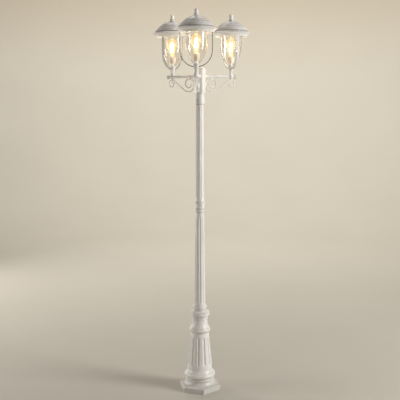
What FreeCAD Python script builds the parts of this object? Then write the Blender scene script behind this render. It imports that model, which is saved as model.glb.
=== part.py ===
"""Garden lamp post with three lanterns, as a parametric document.

Millimetres, +Z up, origin on the post's axis at the ground. The front arm points along -Y and the other two
stand 120 degrees to either side of it. Each piece is drawn about its own seat and then stood on what carries it.
"""

import FreeCAD, Part
import math
import os

import Sketcher
from FreeCAD import Placement, Rotation, Vector

document = FreeCAD.newDocument("LampPost")
sheet = document.addObject("Spreadsheet::Sheet", "Sizes")


# ---------------------------------------------------------------- sizes

# Plain sizes: alias, value, what it is.
PLAIN_SIZES = [
    ("foot_radius", 132, "hexagonal foot, centre to corner"),
    ("foot_thickness", 31, "hexagonal foot, height"),
    ("foot_bevel", 2.5, "bevel round the foot's top"),
    ("foot_turn", 16.5, "degrees from the front arm to the nearest corner of the foot"),
    ("cove_foot", 106, "radius where the base's cove meets the foot"),
    ("anchor_circle", 226, "diameter of the circle of anchor holes"),
    ("anchor_hole", 11, "diameter of an anchor hole"),
    ("base_wall", 9, "wall of the base casting"),
    ("base_flute_radius", 11.6, "radius of the tool that cuts the base's flutes"),
    ("base_flute_depth", 4.2, "depth of the base's flutes"),
    ("base_flute_margin", 15, "plain stretch of the base above and below its flutes"),
    ("base_flute_turn", 12, "degrees from a corner of the foot to a flute"),
    ("flutes", 12, "flutes round each fluted piece"),
    ("spigot_radius", 33, "spigot at the foot of the lower post"),
    ("spigot_length", 114, "length of that spigot below its shoulder"),
    ("slip", 0.2, "radial clearance of a slip fit between tubes"),
    ("screw_radius", 3, "grub screw"),
    ("screw_length", 12, "grub screw, length in a thick wall"),
    ("screw_socket", 1.6, "hexagon socket of a grub screw, centre to corner"),
    ("screw_socket_depth", 3, "depth of that socket"),
    ("screw_slip", 0.1, "radial clearance of a screw in its hole"),
    ("collar_screw_height", 22, "base collar's screws, above its foot"),
    ("lower_bore_radius", 27.5, "bore at the foot of the lower post"),
    ("lower_socket_radius", 22, "socket at the top of the lower post"),
    ("lower_socket_depth", 45, "depth of that socket"),
    ("post_flute_radius", 7, "radius of the tool that cuts the lower post's flutes"),
    ("post_flute_depth", 2.3, "depth of the lower post's flutes"),
    ("post_flute_margin", 4, "plain end of the lower post's shaft"),
    ("post_flute_turn", 11.5, "degrees from the base's flutes to the lower post's"),
    ("coupling_length", 40, "spigot of the post collar in the lower post"),
    ("coupling_bore", 15, "radius of the post collar's bore"),
    ("coupling_socket_depth", 43, "socket of the post collar for the upper post"),
    ("coupling_screw_height", 42, "post collar's screws, above its shoulder"),
    ("upper_spigot_radius", 20, "spigot at the foot of the upper post"),
    ("upper_spigot_length", 40, "length of that spigot"),
    ("upper_wall", 4, "wall of the upper post at its spigots"),
    ("upper_flute_radius", 5.6, "radius of the tool that cuts the upper post's flutes"),
    ("upper_flute_depth", 1.9, "depth of the upper post's flutes"),
    ("upper_flute_margin", 3, "plain end of the upper post's shaft"),
    ("upper_flute_turn", 13.5, "degrees from the lower post's flutes to the upper post's"),
    ("head_spigot_radius", 22.5, "spigot at the top of the upper post, in the hub's sleeve"),
    ("head_spigot_length", 59, "length of that spigot"),
    ("sleeve_radius", 28.8, "round sleeve under the hub"),
    ("sleeve_height", 65, "height of that sleeve"),
    ("sleeve_screw_height", 22, "sleeve's screws, above its foot"),
    ("hub_radius", 35.2, "hexagonal hub, centre to corner"),
    ("hub_height", 143.3, "height of the hexagonal hub"),
    ("hub_bore", 21, "radius of the hub's cavity"),
    ("hub_floor", 8, "floor of the hub's cavity, above the sleeve"),
    ("hub_lead_hole", 11, "radius of the hole in that floor"),
    ("cap_rise", 11, "rise of the hub's domed cap"),
    ("cap_edge", 3, "edge of the cap below its dome"),
    ("cap_plug", 6, "plug of the cap in the hub"),
    ("block_width", 20, "terminal block, width and depth"),
    ("block_height", 36, "terminal block, height"),
    ("block_screw_radius", 2, "well over each terminal screw"),
    ("block_screw_depth", 5, "depth of that well"),
    ("block_pitch", 8, "distance between terminal screws"),
    ("arm_height", 99.7, "arms' axis above the foot of the hexagonal hub"),
    ("arm_reach", 208, "post's axis to lamp's axis"),
    ("arm_radius", 8.3, "arm tube"),
    ("arm_bore", 6, "radius of the arm tube's bore"),
    ("arm_past", 18, "arm tube beyond the lamp's axis"),
    ("arm_seat", 1, "arm's inner end from the hub's cavity"),
    ("arm_slip", 0.1, "radial clearance of an arm in the hub or stem"),
    ("knob_plug", 10, "plug of the end knob in the arm"),
    ("bar_radius", 3.5, "round bar of the scrolls"),
    ("scroll_inset", 85, "lowest point of the scroll from the post's axis"),
    ("scroll_drop", 91, "that point below the arms' axis"),
    ("scroll_big", 43, "first radius of the scroll's big curl"),
    ("scroll_small", 23, "first radius of the scroll's small curl"),
    ("scroll_rise", 45, "radius where the bar turns up from the big curl"),
    ("scroll_bend", 25, "radius where the bar turns over to the small curl"),
    ("scroll_tighten", 0.83, "each quarter turn's radius over the one before"),
    ("tenon_radius", 2.6, "tenon of the scroll against the hub"),
    ("clip_length", 16, "clip between scroll and arm, along the arm"),
    ("clip_width", 12, "clip, across the arm"),
    ("clip_floor", 2, "clip's wall under the bar"),
    ("stem_bore", 5.2, "radius of the stem's bore"),
    ("stem_drop", 14.5, "stem below the arm's axis"),
    ("strap_radius", 92.5, "yoke's bend, to the middle of the strap"),
    ("strap_thickness", 4, "yoke's strap"),
    ("strap_width", 14, "yoke's strap, width"),
    ("strap_leg", 138.5, "yoke's straight legs"),
    ("fork_slot", 4.8, "width of the slot in the yoke's ends"),
    ("nipple_radius", 5, "gallery's nipple through the yoke"),
    ("nipple_bore", 3.5, "radius of the nipple's bore"),
    ("nipple_length", 14, "nipple below the gallery"),
    ("gallery_floor", 12.5, "gallery's floor above the yoke"),
    ("gallery_lip", 1.7, "width of the gallery's lip round the glass"),
    ("post_radius", 9, "gallery's post under the lampholder"),
    ("post_top", 32, "top of that post above the yoke"),
    ("glass_wall", 2.5, "glass"),
    ("glass_hole", 13, "radius of the hole in the glass's foot"),
    ("glass_gap", 0.3, "glass above the gallery's floor"),
    ("holder_bore", 13.25, "radius of the lampholder's bore"),
    ("holder_floor", 12, "floor of that bore above the holder's foot"),
    ("cap_radius", 13.2, "bulb's cap"),
    ("cap_gap", 0.3, "bulb's contact above the holder's floor"),
    ("contact_radius", 4.5, "bulb's centre contact"),
    ("contact_rise", 2.5, "height of that contact"),
    ("cap_shoulder", 5, "cone between contact and screw shell"),
    ("cap_shell", 21, "height of the bulb's screw shell"),
    ("bulb_wall", 1.1, "glass of the bulb"),
    ("filament_stem", 2.2, "radius of the glass post in the bulb"),
    ("filament_stem_height", 84, "height of that post"),
    ("filament_count", 6, "filaments"),
    ("filament_circle", 9, "filaments from the bulb's axis"),
    ("filament_radius", 1.1, "a filament"),
    ("filament_length", 50, "length of a filament"),
    ("filament_foot", 32, "filaments' foot above the screw shell"),
    ("filament_wire", 0.8, "radius of the wires that hold the filaments"),
    ("roof_height", 101.2, "roof's lower edge above the centre of the yoke's bend"),
    ("roof_edge", 98.6, "radius of the roof's lower edge"),
    ("roof_mouth", 95.5, "radius of the roof's mouth"),
    ("roof_wall", 2.6, "wall of the roof's dome"),
    ("roof_groove_wall", 3.4, "wall of the roof at its groove"),
    ("roof_screw_radius", 2, "roof screw"),
    ("roof_screw_head", 3.6, "radius of its head"),
    ("roof_screw_head_height", 2.6, "height of its head"),
    ("roof_screw_past", 5, "roof screw beyond the inside of the strap"),
    ("boss_radius", 12, "boss inside the roof's top"),
    ("boss_depth", 8, "depth of that boss below the dome"),
    ("rod_radius", 3, "finial's rod"),
    ("rod_slip", 0.06, "radial clearance of the rod"),
    ("rod_past", 3, "rod below its nut"),
    ("reflector_height", 7, "reflector above the roof's lower edge"),
    ("reflector_radius", 84, "reflector's dish"),
    ("reflector_rim", 9, "upturned rim of the dish"),
    ("reflector_wall", 1.5, "reflector's sheet"),
    ("spacer_radius", 5.5, "reflector's spacer tube"),
    ("nut_radius", 5.8, "reflector's nut, centre to corner"),
    ("nut_height", 5, "reflector's nut"),
    ("face_gap", 0.1, "gap between faces that are screwed together"),
    ("lead_radius", 2.5, "lamp lead"),
    ("lead_start", 6.5, "leads' lower ends from the post's axis"),
    ("lead_bend", 10, "radius of the lead's turn up the stem"),
    ("grommet_bore", 5, "radius of the cable grommet's bore"),
    ("grommet_flange", 31, "radius of the grommet's flange"),
    ("grommet_flange_height", 4, "height of that flange"),
    ("grommet_plug", 12, "grommet's plug in the post"),
    ("grommet_squeeze", 0.1, "radial gap round that plug"),
]

# Turned profiles, from the bottom up. Each moulding rises by its height to its radius, and its bow is how far
# it stands out from the straight line (less than nothing for a hollow).
MOULDINGS = {
    "base": [
        ("cove", 25.5, 82.8, -6.4),
        ("quirk", 4.4, 82.8, 0),
        ("bead", 16.6, 87, 5.8),
        ("torus", 33.1, 87, 9.5),
        ("flare", 29.7, 76.9, -3.2),
        ("shaft", 217.7, 56.8, 0),
        ("hollow", 11.8, 61, -2.1),
        ("ring", 23.9, 61, 5),
        ("throat", 44.4, 47.8, -4.2),
        ("neck", 8.7, 47.3, 0),
        ("lower_bead", 9.8, 47.8, 2.8),
        ("upper_bead", 9.7, 48.3, 2.8),
    ],
    "collar": [
        ("flare", 9, 60.3, -2.5),
        ("band", 18.7, 60.3, 0),
        ("shoulder", 3, 57.3, 0),
        ("top", 10.3, 44, -2),
    ],
    "lower": [
        ("quirk", 10.8, 40.9, -1),
        ("torus", 19.4, 38.8, 4),
        ("hollow", 8.6, 34.9, -1),
        ("shaft", 549.6, 27.8, 0),
        ("head", 22, 27.3, 0),
    ],
    "coupling": [
        ("quirk", 5.1, 26.8, 0),
        ("bulge", 16.6, 27.3, 3.5),
        ("groove", 4.2, 28.3, 0),
        ("barrel", 29.2, 28.8, 0),
        ("ring", 12.4, 28.3, 4.3),
    ],
    "upper": [
        ("foot", 21.8, 26.3, 0),
        ("shaft", 564.8, 23.8, 0),
        ("head", 6, 23.8, 0),
    ],
    "stem": [
        ("drop", 5, 9.5, 1.6),
        ("boss", 22, 13.5, 3),
        ("shoulder", 5, 11.5, 0),
        ("neck", 19, 12.3, 0),
        ("flare", 3, 16.5, 0),
        ("collar", 5, 16.5, 0),
    ],
    "gallery": [
        ("collar", 8, 16.5, 0),
        ("flare", 4.5, 22, 0),
        ("lip", 4.5, 22, 0),
    ],
    "glass": [
        ("foot", 5, 19, 0),
        ("lower", 49, 50, 1.6),
        ("upper", 69, 65, 3.75),
        ("wall", 59, 65, 0),
    ],
    "holder": [
        ("foot", 8, 16.5, 0),
        ("step", 3, 19.5, 0),
        ("barrel", 26, 19.5, 0),
        ("rim", 3, 18, 0),
    ],
    "bulb": [
        ("neck", 12, 14.5, -0.6),
        ("cone", 50, 30.5, -1),
        ("belly", 24, 29.5, 2.4),
        ("shoulder", 18, 18, 3),
    ],
    "roof": [
        ("fascia", 18.6, 121.6, -4),
        ("brim", 3, 121, 0),
        ("rake", 8.8, 104.5, -1.6),
        ("fillet", 3, 103, 0),
        ("skirt", 26.3, 78.5, 1.8),
        ("first_step", 1.4, 76.5, 0),
        ("flank", 10.7, 64.5, 0.7),
        ("second_step", 1.4, 62.5, 0),
        ("crown", 8.7, 46, 1.1),
        ("third_step", 1.2, 44.5, 0),
        ("summit", 6.8, 26, 0.9),
        ("throat", 8.7, 14.5, -2.2),
    ],
    "finial": [
        ("foot", 4, 15.5, 1),
        ("quirk", 4, 11.4, 0),
        ("body", 21, 11.6, 0.9),
    ],
    "knob": [
        ("collar", 4, 10.5, 0),
        ("quirk", 2.5, 8, 0),
        ("ball", 7.5, 13.2, 1.1),
    ],
}

# Radius where each turned profile starts, and the rise of the ones that close in a dome.
STARTS = [
    ("collar_start", 48.3, "base collar"),
    ("lower_start", 40.9, "lower post's shoulder"),
    ("coupling_start", 26.8, "post collar"),
    ("upper_start", 27.3, "upper post's shoulder"),
    ("stem_start", 5, "stem"),
    ("gallery_start", 16.5, "gallery"),
    ("glass_start", 19, "glass"),
    ("holder_start", 15.5, "lampholder"),
    ("bulb_start", 12.9, "bulb"),
    ("bulb_dome", 9, "rise of the bulb's top"),
    ("finial_start", 14, "finial"),
    ("finial_dome", 6, "rise of the finial's top"),
    ("knob_start", 9.5, "end knob"),
    ("knob_dome", 8, "rise of the end knob's tip"),
]


class Size:
    """A number together with the sheet's expression for it, so that a sketch starts true and stays bound."""

    def __init__(self, number, text):
        self.number = float(number)
        self.text = text

    @staticmethod
    def of(value):
        return value if isinstance(value, Size) else Size(value, f"({float(value)!r})")

    def __add__(self, other):
        other = Size.of(other)
        return Size(self.number + other.number, f"({self.text} + {other.text})")

    def __sub__(self, other):
        other = Size.of(other)
        return Size(self.number - other.number, f"({self.text} - {other.text})")

    def __mul__(self, other):
        other = Size.of(other)
        return Size(self.number * other.number, f"({self.text} * {other.text})")

    def __truediv__(self, other):
        other = Size.of(other)
        return Size(self.number / other.number, f"({self.text} / {other.text})")

    def __neg__(self):
        return Size(-self.number, f"(0 - {self.text})")

    def __radd__(self, other):
        return Size.of(other) + self

    def __rsub__(self, other):
        return Size.of(other) - self

    def __rmul__(self, other):
        return Size.of(other) * self

    def root(self):
        return Size(math.sqrt(self.number), f"sqrt({self.text})")


def fill_sheet():
    """Writes every size into the sheet and returns them by alias."""
    rows = list(PLAIN_SIZES) + list(STARTS)
    for profile, members in MOULDINGS.items():
        for member, rise, radius, bow in members:
            rows.append((f"{profile}_{member}_rise", rise, f"{profile}: {member}, height"))
            rows.append((f"{profile}_{member}_radius", radius, f"{profile}: {member}, radius at its top"))
            rows.append((f"{profile}_{member}_bow", bow, f"{profile}: {member}, how far it bows out"))
    sizes = {}
    for row, (alias, value, meaning) in enumerate(rows, start=1):
        sheet.set(f"A{row}", str(value))
        sheet.setAlias(f"A{row}", alias)
        sheet.set(f"B{row}", meaning)
        sizes[alias] = Size(value, f"Sizes.{alias}")
    document.recompute()
    return sizes


SIZE = fill_sheet()


def size(alias):
    return SIZE[alias]


def member(profile, name, measure):
    return SIZE[f"{profile}_{name}_{measure}"]


def rise_of(profile, upto=None):
    """Height of a turned profile, or of its mouldings below the one named."""
    total = Size.of(0)
    for name, *_ in MOULDINGS[profile]:
        if name == upto:
            break
        total = total + member(profile, name, "rise")
    return total


def climb(profile, radius, height):
    """Outline points of a turned profile from its start upwards."""
    points = [(radius, height)]
    for name, *_ in MOULDINGS[profile]:
        height = height + member(profile, name, "rise")
        bow = member(profile, name, "bow")
        radius = member(profile, name, "radius")
        points.append((radius, height, bow) if bow.number else (radius, height))
    return points


# ---------------------------------------------------------------- drawing

FRONT, LEFT, RIGHT = -90.0, 150.0, 30.0
LANTERNS = {"front": FRONT, "left": LEFT, "right": RIGHT}
QUARTER = 1 - math.sqrt(0.5)  # how far a quarter circle stands out from its chord, for a radius of one


def new_body(label):
    body = document.addObject("PartDesign::Body", label)
    body.Label = label
    return body


def origin_feature(body, role):
    return [feature for feature in body.Origin.OriginFeatures if feature.Role == role][0]


def blank_sketch(body, role, name, lift=None, swing=0.0):
    """An empty sketch on one of the body's own origin planes, lifted off it along its normal or swung about
    its own upward axis."""
    sketch = body.newObject("Sketcher::SketchObject", name)
    sketch.AttachmentSupport = [(origin_feature(body, role), "")]
    sketch.MapMode = "FlatFace"
    if swing:
        swing = Size.of(swing)
        sketch.AttachmentOffset = Placement(Vector(), Rotation(Vector(0, 1, 0), swing.number))
        sketch.setExpression(".AttachmentOffset.Rotation.Angle", f"{swing.text} * 1 deg")
    if lift is not None:
        lift = Size.of(lift)
        sketch.AttachmentOffset = Placement(Vector(0, 0, lift.number), Rotation())
        sketch.setExpression("AttachmentOffset.Base.z", lift.text)
    return sketch


def bend(start, end, bow):
    """An arc through two points that stands out by bow to the right of the way from start to end (to the left
    when bow is negative). Returns the arc, its radius as a Size, and which of its ends is the start."""
    across, along = end[0] - start[0], end[1] - start[1]
    depth = bow if bow.number > 0 else -bow
    radius = (across * across + along * along) / (depth * 8) + depth / 2
    chord = Vector(across.number, along.number, 0)
    right = Vector(chord.y, -chord.x, 0).normalize()
    middle = Vector((start[0].number + end[0].number) / 2, (start[1].number + end[1].number) / 2, 0)
    side = 1 if bow.number > 0 else -1
    centre = middle - right * side * (radius.number - depth.number)
    first, last = (start, end) if side > 0 else (end, start)
    angles = [math.atan2(p[1].number - centre.y, p[0].number - centre.x) for p in (first, last)]
    circle = Part.Circle(centre, Vector(0, 0, 1), radius.number)
    return Part.ArcOfCircle(circle, angles[0], angles[1]), radius, 1 if side > 0 else 2


def outline(body, role, points, name, closed=True, lift=None, swing=0.0):
    """A sketch through the points, each bound to the sheet: (x, y), or (x, y, bow) where the edge that arrives
    there is an arc."""
    sketch = blank_sketch(body, role, name, lift, swing)
    points = [tuple(Size.of(value) for value in point) for point in points]
    edges, starts, radii = [], [], []
    order = range(len(points)) if closed else range(1, len(points))
    for index in order:
        start, end = points[index - 1], points[index]
        if len(end) == 3:
            edge, radius, first = bend(start, end, end[2])
            radii.append((len(edges), radius))
        else:
            edge = Part.LineSegment(*[Vector(p[0].number, p[1].number, 0) for p in (start, end)])
            first = 1
        edges.append(edge)
        starts.append(first)
    sketch.addGeometry(edges, False)
    rules, bindings = [], []

    def pin(point, edge, which):
        for kind, axis, value in (("DistanceX", -2, point[0]), ("DistanceY", -1, point[1])):
            if value.number == 0:
                rules.append(Sketcher.Constraint("PointOnObject", edge, which, axis))
            else:
                bindings.append((len(rules), value))
                rules.append(Sketcher.Constraint(kind, -1, 1, edge, which, value.number))

    for edge, index in enumerate(order):
        pin(points[index - 1], edge, starts[edge])
        last = 3 - starts[edge]
        following = (edge + 1) % len(edges)
        if closed or following:
            rules.append(Sketcher.Constraint("Coincident", edge, last, following, starts[following]))
        else:
            pin(points[index], edge, last)
    for edge, radius in radii:
        bindings.append((len(rules), radius))
        rules.append(Sketcher.Constraint("Radius", edge, radius.number))
    sketch.addConstraint(rules)
    for index, value in bindings:
        sketch.setExpression(f"Constraints[{index}]", value.text)
    return sketch


def discs(body, role, circles, name, lift=None, swing=0.0):
    """A sketch of circles, each (x, y, radius)."""
    sketch = blank_sketch(body, role, name, lift, swing)
    for index, circle in enumerate(circles):
        x, y, radius = [Size.of(value) for value in circle]
        sketch.addGeometry(Part.Circle(Vector(x.number, y.number, 0), Vector(0, 0, 1), radius.number), False)
        rule = sketch.addConstraint(Sketcher.Constraint("Radius", index, radius.number))
        sketch.setExpression(f"Constraints[{rule}]", radius.text)
        for kind, axis, value in (("DistanceX", -2, x), ("DistanceY", -1, y)):
            if value.number == 0:
                sketch.addConstraint(Sketcher.Constraint("PointOnObject", index, 3, axis))
            else:
                rule = sketch.addConstraint(Sketcher.Constraint(kind, -1, 1, index, 3, value.number))
                sketch.setExpression(f"Constraints[{rule}]", value.text)
    return sketch


def spin(body, sketch, kind="PartDesign::Revolution", axis="V_Axis"):
    feature = body.newObject(kind, kind.split("::")[1] + sketch.Name)
    feature.Profile = sketch
    feature.ReferenceAxis = (sketch, [axis])
    feature.Angle = 360
    return feature


def turned(body, points, name="Profile"):
    return spin(body, outline(body, "XZ_Plane", points, name))


def turned_out(body, points, name="Hollow"):
    return spin(body, outline(body, "XZ_Plane", points, name), "PartDesign::Groove")


def push(body, sketch, length, kind="PartDesign::Pad", both=False, back=False):
    """Pads or pockets a sketch by a length, to both sides of its plane or backwards where asked."""
    feature = body.newObject(kind, kind.split("::")[1] + sketch.Name)
    feature.Profile = sketch
    length = Size.of(length)
    feature.Length = length.number
    feature.setExpression("Length", length.text)
    feature.Midplane = both
    feature.Reversed = back
    return feature


def ring_of(body, feature, count, turn_axis="Z_Axis"):
    """Repeats a feature round one of the body's axes."""
    pattern = body.newObject("PartDesign::PolarPattern", "Ring" + feature.Name)
    pattern.Originals = [feature]
    pattern.Axis = (origin_feature(body, turn_axis), [""])
    pattern.Angle = 360
    pattern.Occurrences = int(Size.of(count).number)
    pattern.setExpression("Occurrences", Size.of(count).text)
    body.Tip = pattern
    return pattern


def radial_holes(body, height, radius, reach, count, swing=0.0):
    """Round holes from the axis outwards through the wall, at one height."""
    sketch = discs(body, "XZ_Plane", [(0, height, radius)], "RadialHole", swing=swing)
    hole = push(body, sketch, reach, "PartDesign::Pocket", back=True)
    ring_of(body, hole, count)


def flute_ring(body, foot, head, tool, depth, margin, swing=0.0):
    """Round-ended flutes down a tapered shaft between two outline points, as the turn of a half capsule about
    its own long axis, set so that it sinks by the depth."""
    across, along = head[0] - foot[0], head[1] - foot[1]
    slope = (across * across + along * along).root()
    out = tool - depth
    ends = []
    for share in ((margin + tool) / slope, 1 - (margin + tool) / slope):
        x = foot[0] + across * share + out * along / slope
        y = foot[1] + along * share - out * across / slope
        ends.append((x, y))
    (low_x, low_y), (high_x, high_y) = ends
    step_x, step_y = tool * across / slope, tool * along / slope
    points = [
        (low_x - step_x, low_y - step_y),
        (low_x + step_y, low_y - step_x, tool * QUARTER),
        (high_x + step_y, high_y - step_x),
        (high_x + step_x, high_y + step_y, tool * QUARTER),
    ]
    sketch = outline(body, "XZ_Plane", points, "Flute", swing=swing)
    groove = body.newObject("PartDesign::Groove", "FluteCut")
    groove.Profile = sketch
    groove.ReferenceAxis = (sketch, ["Edge1"])
    groove.Angle = 360
    ring_of(body, groove, size("flutes"))


def stand(piece, height, out=0, turn=0.0):
    """Sets a piece at its height and distance from the post's axis, in the direction that it is turned to."""
    height, out, turn = Size.of(height), Size.of(out), Size.of(turn)
    angle = math.radians(turn.number)
    where = Vector(out.number * math.cos(angle), out.number * math.sin(angle), height.number)
    piece.Placement = Placement(where, Rotation(Vector(0, 0, 1), turn.number))
    piece.setExpression("Placement.Base.x", f"{out.text} * cos({turn.text} * 1 deg)")
    piece.setExpression("Placement.Base.y", f"{out.text} * sin({turn.text} * 1 deg)")
    piece.setExpression("Placement.Base.z", height.text)
    return piece


# ---------------------------------------------------------------- levels

COLLAR_FOOT = size("foot_thickness") + rise_of("base")
LOWER_FOOT = COLLAR_FOOT + rise_of("collar")
COUPLING_FOOT = LOWER_FOOT + rise_of("lower")
UPPER_FOOT = COUPLING_FOOT + rise_of("coupling")
SLEEVE_FOOT = UPPER_FOOT + rise_of("upper")
HUB_FOOT = SLEEVE_FOOT + size("sleeve_height")
BLOCK_FOOT = HUB_FOOT + size("hub_floor") + size("face_gap")
ARM_LEVEL = HUB_FOOT + size("arm_height")
YOKE_LEVEL = ARM_LEVEL - size("stem_drop") + rise_of("stem")
STRAP_TOP = YOKE_LEVEL + size("strap_thickness")
BEND_LEVEL = YOKE_LEVEL + size("strap_radius") + size("strap_thickness") / 2
GLASS_FOOT = STRAP_TOP + size("gallery_floor") + size("glass_gap")
HOLDER_FOOT = STRAP_TOP + size("post_top")
BULB_FOOT = HOLDER_FOOT + size("holder_floor") + size("cap_gap")
SHELL_FOOT = BULB_FOOT + size("contact_rise") + size("cap_shoulder")
SHELL_TOP = SHELL_FOOT + size("cap_shell")
ROOF_FOOT = BEND_LEVEL + size("roof_height")


# ---------------------------------------------------------------- post


def base_casting():
    """Hexagonal foot, mouldings and fluted bell body in one hollow casting."""
    body = new_body("base_casting")
    corner = size("foot_radius")
    half, side = corner / 2, corner * math.sqrt(0.75)
    hexagon = [(corner, 0), (half, side), (-half, side), (-corner, 0), (-half, -side), (half, -side)]
    foot = push(body, outline(body, "XY_Plane", hexagon, "Foot"), size("foot_thickness"))
    document.recompute()
    bevel = body.newObject("PartDesign::Chamfer", "FootBevel")
    top = size("foot_thickness").number
    rim = [f"Edge{k}" for k, edge in enumerate(foot.Shape.Edges, 1) if abs(edge.BoundBox.ZMin - top) < 0.01]
    bevel.Base = (foot, rim)
    bevel.Size = size("foot_bevel").number
    bevel.setExpression("Size", size("foot_bevel").text)

    points = climb("base", size("cove_foot"), size("foot_thickness"))
    turned(body, [(0, size("foot_thickness"))] + points + [(0, points[-1][1])])

    wall, bore = size("base_wall"), size("spigot_radius") + size("slip")
    quirk, shaft, ring = points[1], points[5], points[6]
    seat = COLLAR_FOOT - spigot_reach()
    turned_out(body, [
        (0, -1),
        (size("cove_foot") - wall, -1),
        (size("cove_foot") - wall, size("foot_thickness") / 2),
        (quirk[0] - wall, quirk[1]),
        (shaft[0] - wall, shaft[1]),
        (ring[0] - wall, ring[1] - wall),
        (bore, seat),
        (bore, COLLAR_FOOT + 1),
        (0, COLLAR_FOOT + 1),
    ])
    flute_ring(body, shaft, ring, size("base_flute_radius"), size("base_flute_depth"),
               size("base_flute_margin"), swing=size("base_flute_turn"))

    across = size("anchor_circle") / 2
    hole = discs(body, "XY_Plane", [(across, 0, size("anchor_hole") / 2)], "Anchor")
    ring_of(body, push(body, hole, size("foot_thickness") * 2, "PartDesign::Pocket", back=True), 3)
    return stand(body, 0, turn=size("foot_turn") + (FRONT + 60.0))


def spigot_reach():
    """How far the lower post's spigot goes into the base casting, below the collar."""
    return size("spigot_length") - rise_of("collar")


def base_collar():
    """Flanged socket ring that the lower post stands in."""
    body = new_body("base_collar")
    points = climb("collar", size("collar_start"), 0)
    bore = size("spigot_radius") + size("slip")
    turned(body, [(bore, 0)] + points + [(bore, points[-1][1])])
    radial_holes(body, size("collar_screw_height"), size("screw_radius") + size("screw_slip"),
                 member("collar", "band", "radius") + 5, 3)
    return stand(body, COLLAR_FOOT, turn=COLLAR_TURN)


def lower_post():
    """Fluted and tapered hollow post, on a spigot."""
    body = new_body("lower_post")
    points = climb("lower", size("lower_start"), 0)
    shaft_foot, shaft_head, top = points[3], points[4], points[5]
    foot = -size("spigot_length")
    bore, socket = size("lower_bore_radius"), size("lower_socket_radius")
    socket_foot = top[1] - size("lower_socket_depth")
    turned(body, [
        (bore, foot),
        (size("spigot_radius"), foot),
        (size("spigot_radius"), 0),
        *points,
        (socket, top[1]),
        (socket, socket_foot),
        (bore, shaft_foot[1]),
    ])
    flute_ring(body, shaft_foot, shaft_head, size("post_flute_radius"), size("post_flute_depth"),
               size("post_flute_margin"))
    return stand(body, LOWER_FOOT, turn=POST_TURN)


def cable_grommet():
    """Rubber bush in the foot of the lower post."""
    body = new_body("cable_grommet")
    plug = size("lower_bore_radius") - size("grommet_squeeze")
    flange, top = size("grommet_flange_height"), size("grommet_plug")
    turned(body, [
        (size("grommet_bore"), -flange),
        (size("grommet_flange"), -flange),
        (size("grommet_flange"), 0),
        (plug, 0),
        (plug, top),
        (size("grommet_bore"), top),
    ])
    return stand(body, LOWER_FOOT - size("spigot_length"))


def post_collar():
    """Turned coupling: a spigot down into the lower post and a socket for the upper one."""
    body = new_body("post_collar")
    points = climb("coupling", size("coupling_start"), 0)
    top = points[-1][1]
    spigot = size("lower_socket_radius") - size("slip") / 2
    socket = size("upper_spigot_radius") + size("slip") / 2
    bore, length = size("coupling_bore"), size("coupling_length")
    turned(body, [
        (bore, -length),
        (spigot, -length),
        (spigot, 0),
        *points,
        (socket, top),
        (socket, top - size("coupling_socket_depth")),
        (bore, top - size("coupling_socket_depth")),
    ])
    radial_holes(body, size("coupling_screw_height"), size("screw_radius") + size("screw_slip"),
                 member("coupling", "barrel", "radius") + 5, 3)
    return stand(body, COUPLING_FOOT, turn=COUPLING_TURN)


def upper_post():
    """Fluted and tapered hollow post with a spigot at each end."""
    body = new_body("upper_post")
    points = climb("upper", size("upper_start"), 0)
    shaft_foot, shaft_head, top = points[1], points[2], points[3]
    foot, head = -size("upper_spigot_length"), top[1] + size("head_spigot_length")
    low_bore = size("upper_spigot_radius") - size("upper_wall")
    high_bore = size("head_spigot_radius") - size("upper_wall")
    turned(body, [
        (low_bore, foot),
        (size("upper_spigot_radius"), foot),
        (size("upper_spigot_radius"), 0),
        *points,
        (size("head_spigot_radius"), top[1]),
        (size("head_spigot_radius"), head),
        (high_bore, head),
        (high_bore, shaft_foot[1]),
        (low_bore, 0),
    ])
    flute_ring(body, shaft_foot, shaft_head, size("upper_flute_radius"), size("upper_flute_depth"),
               size("upper_flute_margin"))
    return stand(body, UPPER_FOOT, turn=UPPER_TURN)


def hexagon_points(corner):
    """Corners of a hexagon with a flat towards +X."""
    half, side = corner / 2, corner * math.sqrt(0.75)
    return [(side, half), (0, corner), (-side, half), (-side, -half), (0, -corner), (side, -half)]


def hub_casting():
    """Round sleeve and hexagonal head, hollow, with a hole for each arm."""
    body = new_body("hub_casting")
    sleeve, lip = size("sleeve_radius"), size("foot_bevel") / 2
    turned(body, [
        (size("head_spigot_radius") + size("slip"), 0),
        (sleeve - lip, 0),
        (sleeve, lip, lip * 0.3),
        (sleeve, size("sleeve_height")),
        (size("head_spigot_radius") + size("slip"), size("sleeve_height")),
    ], "Sleeve")
    hexagon = outline(body, "XY_Plane", hexagon_points(size("hub_radius")), "Head",
                      lift=size("sleeve_height"))
    push(body, hexagon, size("hub_height"))
    top = size("sleeve_height") + size("hub_height")
    cavity = size("sleeve_height") + size("hub_floor")
    turned_out(body, [
        (0, size("sleeve_height") - 1),
        (size("hub_lead_hole"), size("sleeve_height") - 1),
        (size("hub_lead_hole"), cavity),
        (size("hub_bore"), cavity),
        (size("hub_bore"), top + 1),
        (0, top + 1),
    ])
    arm = discs(body, "YZ_Plane", [(0, size("sleeve_height") + size("arm_height"),
                                    size("arm_radius") + size("arm_slip"))], "ArmHole")
    ring_of(body, push(body, arm, size("hub_radius") * 2, "PartDesign::Pocket", back=True), 3)
    radial_holes(body, size("sleeve_screw_height"), size("screw_radius") + size("screw_slip"),
                 sleeve + 5, 3, swing=SLEEVE_SWING)
    return stand(body, SLEEVE_FOOT, turn=FRONT)


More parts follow.
